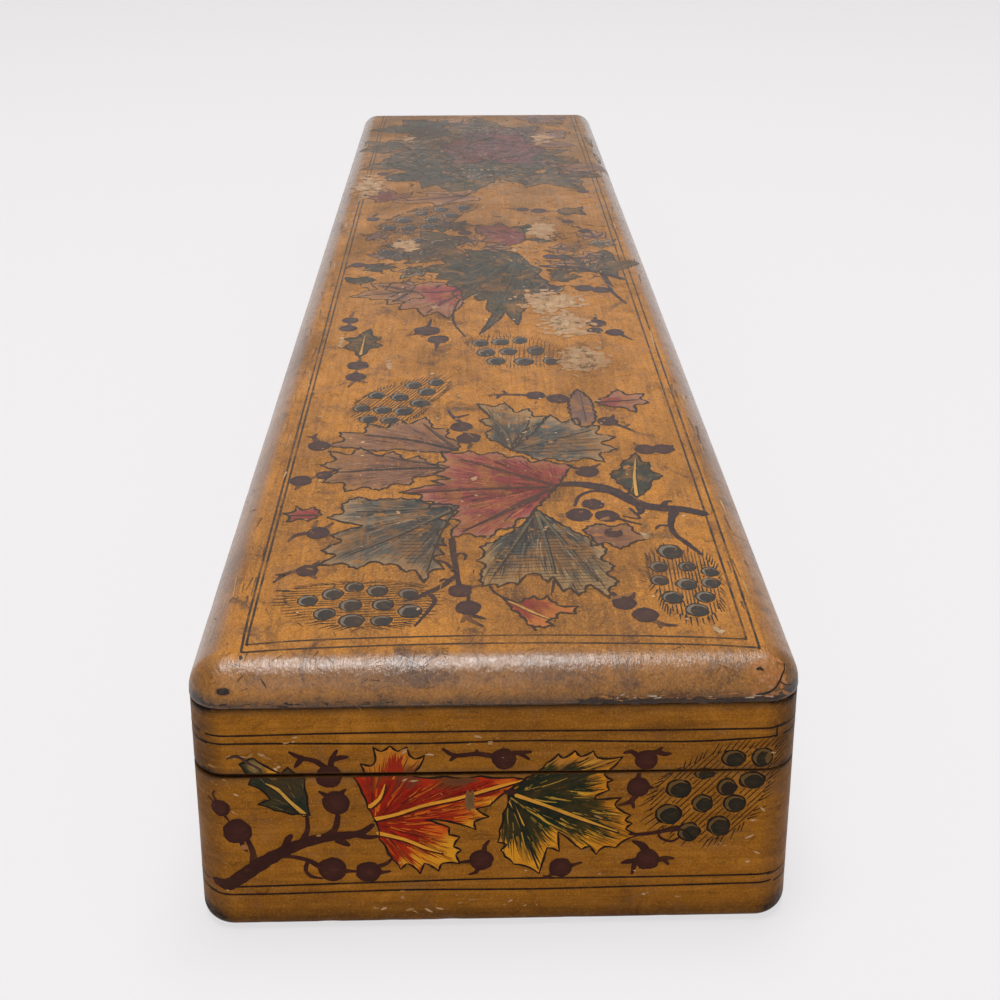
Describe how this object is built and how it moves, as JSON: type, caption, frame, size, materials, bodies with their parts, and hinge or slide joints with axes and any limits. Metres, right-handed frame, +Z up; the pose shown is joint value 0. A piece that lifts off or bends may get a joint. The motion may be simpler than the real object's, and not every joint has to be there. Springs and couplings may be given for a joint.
{
  "type": "wooden keepsake box",
  "caption": "Long, low box with rounded corners, a shallow hinged lid with a rolled edge, and painted leaves and berries all over.",
  "frame": {"origin": "middle of the underside of the base", "axes": "+X along the box to its right end, +Y to the hinge side, +Z up; the lid opens at the -Y side"},
  "size_m": [0.3524, 0.0865, 0.0419],
  "materials": {
    "painted_wood": "ochre ground under aged, cracked varnish",
    "plain_wood": "bare and darkened with age",
    "brass": "dull and tarnished",
    "iron": "dark, rusted"
  },
  "bodies": {
    "base": {"base_floor": "plain_wood", "base_front_wall": "painted_wood", "base_back_wall": "painted_wood", "base_left_end_wall": "painted_wood", "base_right_end_wall": "painted_wood", "base_floor_nails": "iron", "left_hinge_base_leaf": "brass", "left_hinge_pin": "brass", "right_hinge_base_leaf": "brass", "right_hinge_pin": "brass", "hinge_base_screws": "brass"},
    "lid": {"lid_top_board": "painted_wood", "lid_front_rail": "painted_wood", "lid_back_rail": "painted_wood", "lid_left_end_rail": "painted_wood", "lid_right_end_rail": "painted_wood", "lid_top_nails": "iron", "left_hinge_lid_leaf": "brass", "right_hinge_lid_leaf": "brass", "hinge_lid_screws": "brass"}
  },
  "joints": [
    {"name": "lid_hinge", "type": "hinge", "parent": "base", "child": "lid", "pos_m": [0, 0.0427, 0.02533], "axis": [-1, 0, 0], "range_deg": [0, 180]}
  ]
}
